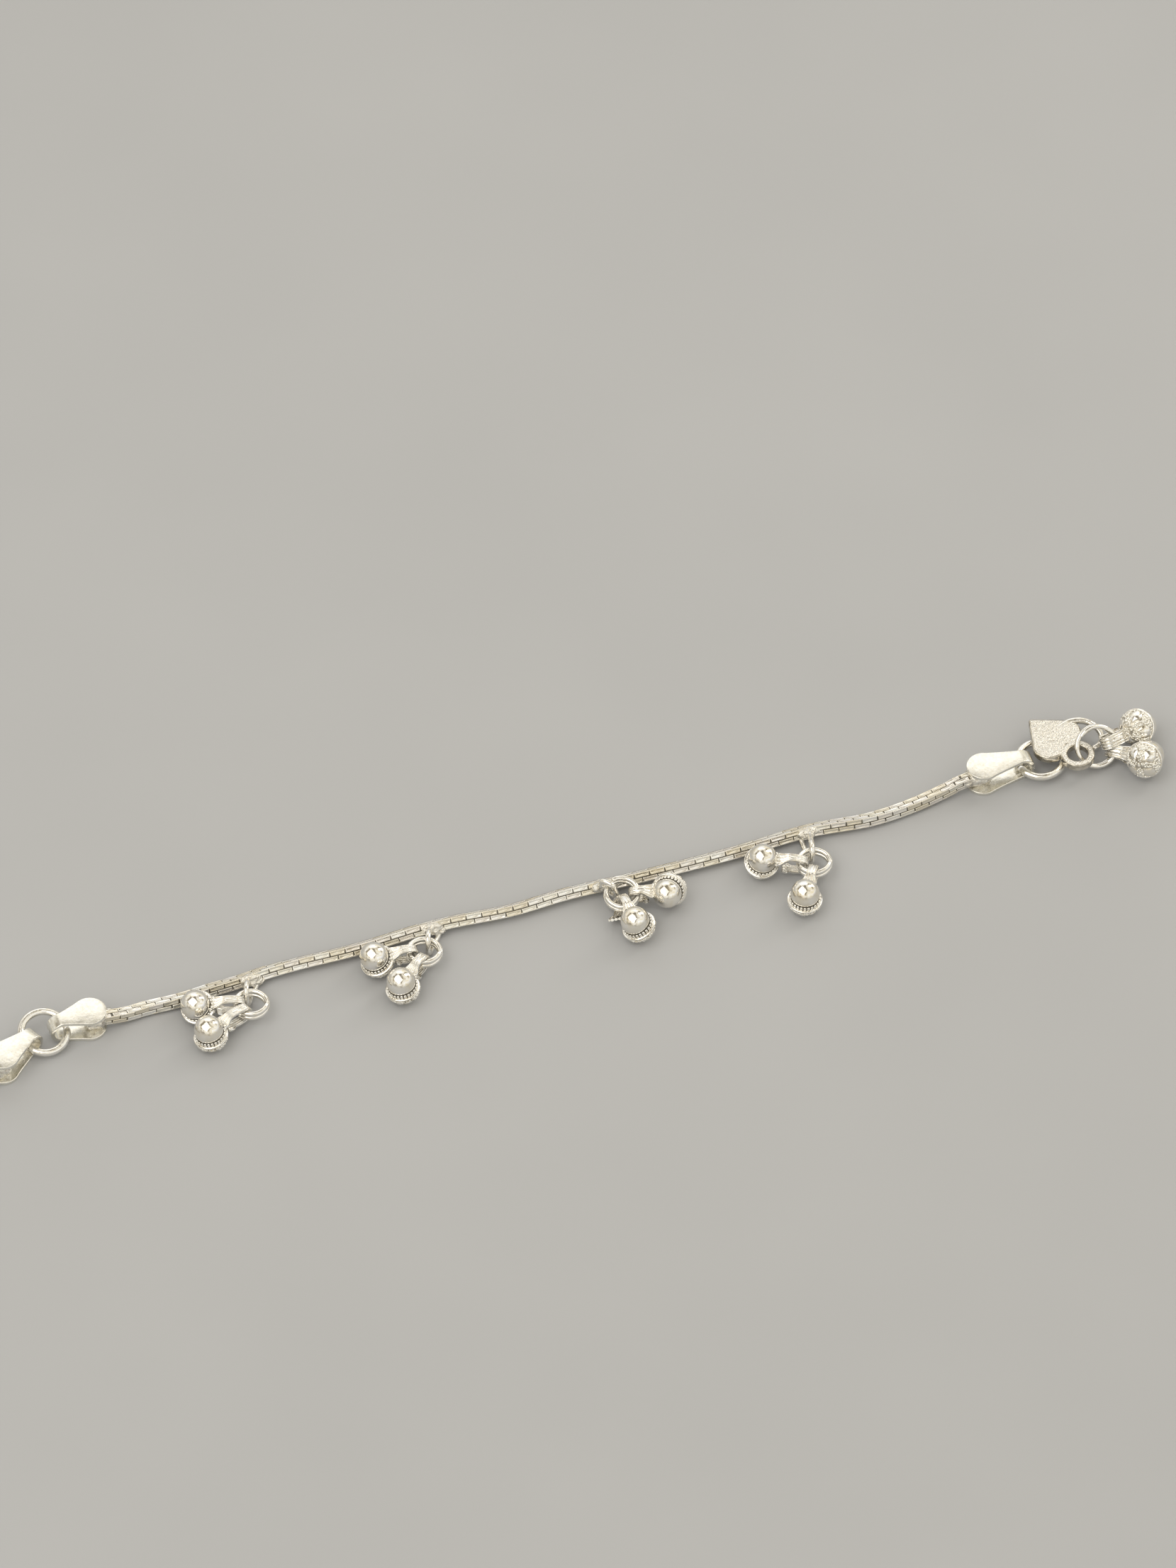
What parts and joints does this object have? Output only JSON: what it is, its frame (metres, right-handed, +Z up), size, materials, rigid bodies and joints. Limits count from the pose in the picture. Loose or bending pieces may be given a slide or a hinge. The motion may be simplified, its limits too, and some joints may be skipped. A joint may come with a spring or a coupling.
{
  "type": "anklet with jingle bells",
  "caption": "Bright metal anklet: square chain with a brick pattern, folded end caps, jump rings with hanging jingle bells, and a heart clasp with a wire hook.",
  "frame": {"origin": "middle of the bounding box at the surface the anklet lies on", "axes": "+X along the chain towards the clasp, +Y away from the side the bells hang on, +Z up"},
  "size_m": [0.269, 0.0222, 0.0058],
  "materials": {
    "chain_metal": "polished silver with dark joints between the bricks",
    "ring_metal": "polished silver wire",
    "cast_metal": "cast silver, finely stippled on top and polished at the sides",
    "bell_metal": "mirror-polished dome, dark belt, granulated bowl"
  },
  "bodies": {
    "root": {"chain_front": "chain_metal", "chain_back": "chain_metal", "ring_clasp": "ring_metal", "ring_middle": "ring_metal", "ring_end": "ring_metal", "heart_hook": "cast_metal", "coil_ring": "ring_metal", "bell_end_a": "bell_metal", "bell_end_b": "bell_metal", "cluster_ring_1": "ring_metal", "bell_1a": "bell_metal", "bell_1b": "bell_metal", "cluster_ring_2": "ring_metal", "bell_2a": "bell_metal", "bell_2b": "bell_metal", "cluster_ring_3": "ring_metal", "bell_3a": "bell_metal", "bell_3b": "bell_metal", "cluster_ring_4": "ring_metal", "bell_4a": "bell_metal", "bell_4b": "bell_metal"}
  },
  "joints": []
}
